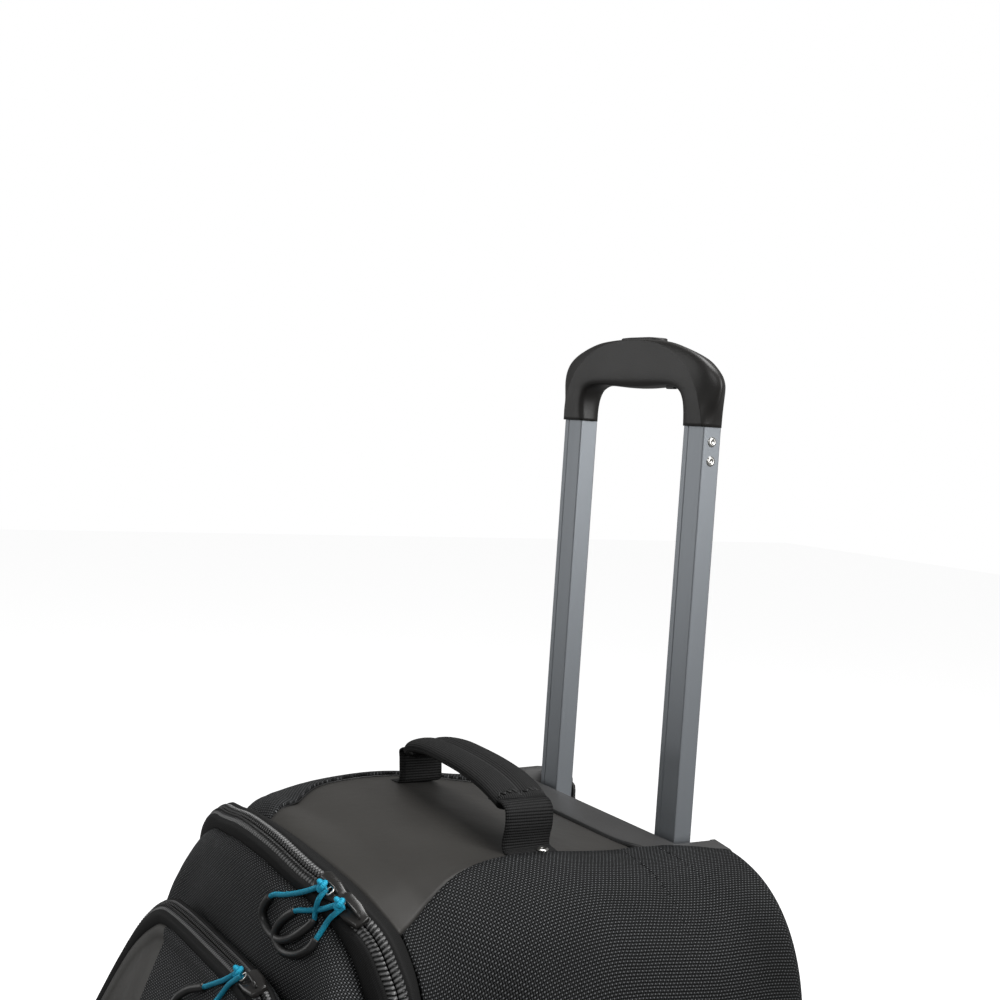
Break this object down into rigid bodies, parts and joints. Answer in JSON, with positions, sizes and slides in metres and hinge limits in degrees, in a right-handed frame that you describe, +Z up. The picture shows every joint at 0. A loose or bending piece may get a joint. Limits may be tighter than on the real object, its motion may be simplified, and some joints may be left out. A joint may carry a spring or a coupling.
{
  "type": "rolling bag",
  "caption": "Tall wheeled soft-sided roller bag with a telescoping two-tube handle, a zipped front lid with a pocket, and a padded grab handle on its top.",
  "frame": {"origin": "on the ground, under the middle of the whole object's footprint", "axes": "+Z up, +Y towards the back with the wheels and pull-out handle, +X to the right seen from the front"},
  "size_m": [0.4, 0.428, 0.992],
  "materials": {
    "woven_nylon": "coarse basket-woven nylon, matt",
    "coated_panel": "smooth coated fabric, soft sheen",
    "zip_coil": "nylon coil, semi-gloss",
    "trim_plastic": "satin grey moulding, fine grain",
    "black_plastic": "satin black, fine grain",
    "anodised": "dark anodised, satin",
    "steel": "bright",
    "slider_metal": "dark gunmetal lacquer",
    "webbing": "ribbed black webbing",
    "rubber": "matt",
    "tyre": "matt, fine moulding lines",
    "pull_cord": "braided cord, matt",
    "pull_tube": "satin tube"
  },
  "bodies": {
    "bag": {"top_panel": "coated_panel", "side_panel_left": "woven_nylon", "side_panel_right": "woven_nylon", "main_zip_body_row": "zip_coil", "base_tub": "black_plastic", "foot_left": "rubber", "foot_right": "rubber", "back_panel": "woven_nylon", "back_board": "black_plastic", "skid_rail_left": "black_plastic", "skid_rail_right": "black_plastic", "wheel_axle_left": "steel", "wheel_axle_right": "steel", "wheel_housing_left": "black_plastic", "wheel_housing_right": "black_plastic", "trim_tray": "trim_plastic", "outer_tube_left": "anodised", "outer_tube_right": "anodised", "tube_collar_left": "black_plastic", "tube_collar_right": "black_plastic", "tube_foot_left": "black_plastic", "tube_foot_right": "black_plastic", "grab_handle_leg_left": "webbing", "grab_handle_leg_right": "webbing"},
    "handle": {"inner_tube_left": "anodised", "inner_tube_right": "anodised", "rivet_left_upper": "steel", "rivet_left_lower": "steel", "rivet_right_upper": "steel", "rivet_right_lower": "steel", "slider_block_left": "black_plastic", "slider_block_right": "black_plastic", "grip_moulding": "black_plastic"},
    "release": {"grip_button": "black_plastic", "release_yoke": "black_plastic", "push_rod_left": "steel", "push_rod_right": "steel"},
    "lock_pin_left": {"lock_pin_left": "steel"},
    "lock_pin_right": {"lock_pin_right": "steel"},
    "wheel_left": {"wheel_tyre_left": "tyre", "wheel_hub_left": "trim_plastic", "wheel_bearing_left": "steel"},
    "wheel_right": {"wheel_tyre_right": "tyre", "wheel_hub_right": "trim_plastic", "wheel_bearing_right": "steel"},
    "lid": {"lid_panel": "woven_nylon", "main_zip_lid_row": "zip_coil", "pocket_gusset": "woven_nylon", "pocket_zip": "zip_coil"},
    "pocket_flap": {"pocket_front": "woven_nylon"},
    "grab_handle": {"grab_handle_pad": "webbing"},
    "main_slider_upper": {"main_slider_upper": "slider_metal", "main_pull_upper_cord": "pull_cord", "main_pull_upper_grip_tube": "pull_tube"},
    "main_slider_lower": {"main_slider_lower": "slider_metal", "main_pull_lower_cord": "pull_cord", "main_pull_lower_grip_tube": "pull_tube"},
    "pocket_slider": {"pocket_slider": "slider_metal", "pocket_pull_cord": "pull_cord", "pocket_pull_grip_tube": "pull_tube"}
  },
  "joints": [
    {"name": "handle_slide", "type": "slide", "parent": "bag", "child": "handle", "axis": [0, 0, 1], "range_m": [-0.285, 0.207]},
    {"name": "button_press", "type": "slide", "parent": "handle", "child": "release", "axis": [0, 0, 1], "range_m": [-0.003, 0], "stiffness_N_per_m": 2500, "springref_m": 0.002},
    {"name": "lock_pin_left_throw", "type": "slide", "parent": "handle", "child": "lock_pin_left", "axis": [-1, 0, 0], "range_m": [0, 0.0025]},
    {"name": "lock_pin_right_throw", "type": "slide", "parent": "handle", "child": "lock_pin_right", "axis": [1, 0, 0], "range_m": [0, 0.0025]},
    {"name": "wheel_left_spin", "type": "hinge", "parent": "bag", "child": "wheel_left", "pos_m": [-0.158, 0.169, 0.045], "axis": [1, 0, 0], "continuous": true},
    {"name": "wheel_right_spin", "type": "hinge", "parent": "bag", "child": "wheel_right", "pos_m": [0.158, 0.169, 0.045], "axis": [1, 0, 0], "continuous": true},
    {"name": "lid_hinge", "type": "hinge", "parent": "bag", "child": "lid", "pos_m": [0, -0.1043, 0.1003], "axis": [1, 0, 0], "range_deg": [0, 60]},
    {"name": "pocket_flap_hinge", "type": "hinge", "parent": "lid", "child": "pocket_flap", "pos_m": [0, -0.204, 0.15], "axis": [1, 0, 0], "range_deg": [0, 25]},
    {"name": "grab_handle_lift", "type": "slide", "parent": "bag", "child": "grab_handle", "axis": [0, 0, 1], "range_m": [-0.008, 0.012], "stiffness_N_per_m": 2500, "deforming": ["grab_handle_leg_left", "grab_handle_leg_right"]},
    {"name": "main_slider_upper_run", "type": "slide", "parent": "lid", "child": "main_slider_upper", "axis": [-0.9781, 0, 0.208], "range_m": [0, 0.02]},
    {"name": "main_slider_lower_run", "type": "slide", "parent": "lid", "child": "main_slider_lower", "axis": [0.8365, 0, -0.548], "range_m": [0, 0.01]},
    {"name": "pocket_slider_run", "type": "slide", "parent": "pocket_flap", "child": "pocket_slider", "axis": [1, 0, 0], "range_m": [-0.06, 0]}
  ]
}
